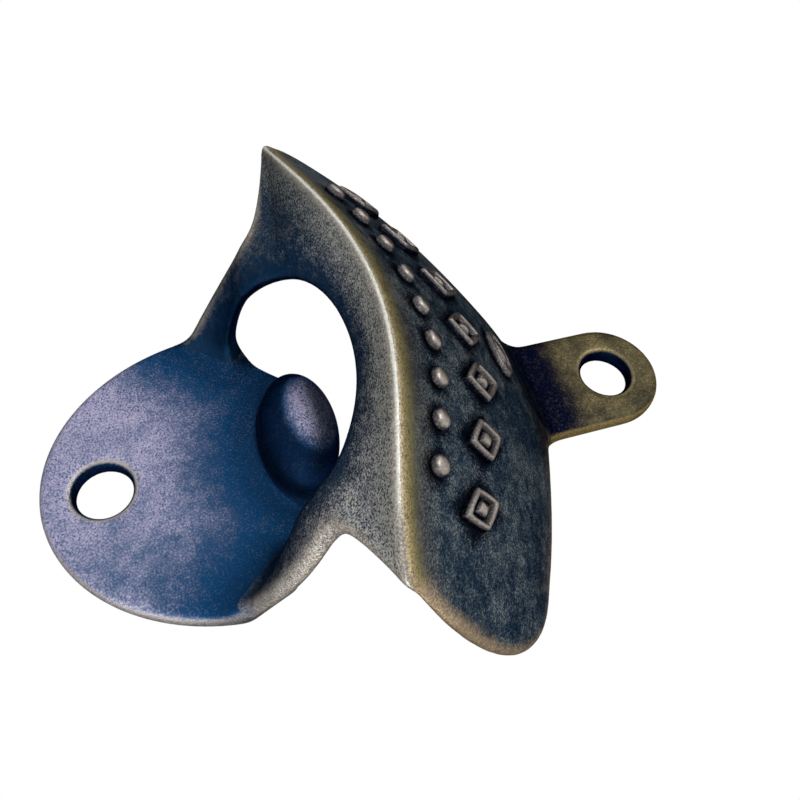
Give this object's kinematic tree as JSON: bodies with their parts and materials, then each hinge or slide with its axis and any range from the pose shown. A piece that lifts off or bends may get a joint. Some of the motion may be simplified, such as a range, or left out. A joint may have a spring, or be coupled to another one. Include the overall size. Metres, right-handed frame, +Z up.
{
  "type": "wall-mounted bottle opener",
  "caption": "Cast wall-mounted bottle opener: oval screw plate, fulcrum knob, looped arms and a flared hood with a thick lip that catches the cap, under an upper screw ear.",
  "frame": {"origin": "on the wall plane, midway between the two screw holes", "axes": "+Z up the wall, +Y into the wall, +X to the right when looking at the wall; the hood stands out towards -Y"},
  "size_m": [0.0652, 0.0302, 0.08],
  "materials": {
    "slate_patina": "antique bronze patina, satin, worn bright on the edges",
    "dark_bronze": "antique bronze patina, satin, worn bright on the edges",
    "olive_bronze": "antique bronze patina, satin, worn bright on the edges",
    "rubbed_bronze": "antique bronze patina, satin, worn bright on the edges"
  },
  "bodies": {
    "root": {"wall_plate": "slate_patina", "fulcrum_knob": "slate_patina", "left_arm": "dark_bronze", "right_arm": "dark_bronze", "cap_lip": "dark_bronze", "hood": "dark_bronze", "top_ear": "olive_bronze", "lozenge_row": "rubbed_bronze", "stud_row": "rubbed_bronze", "oval_boss": "rubbed_bronze"}
  },
  "joints": []
}
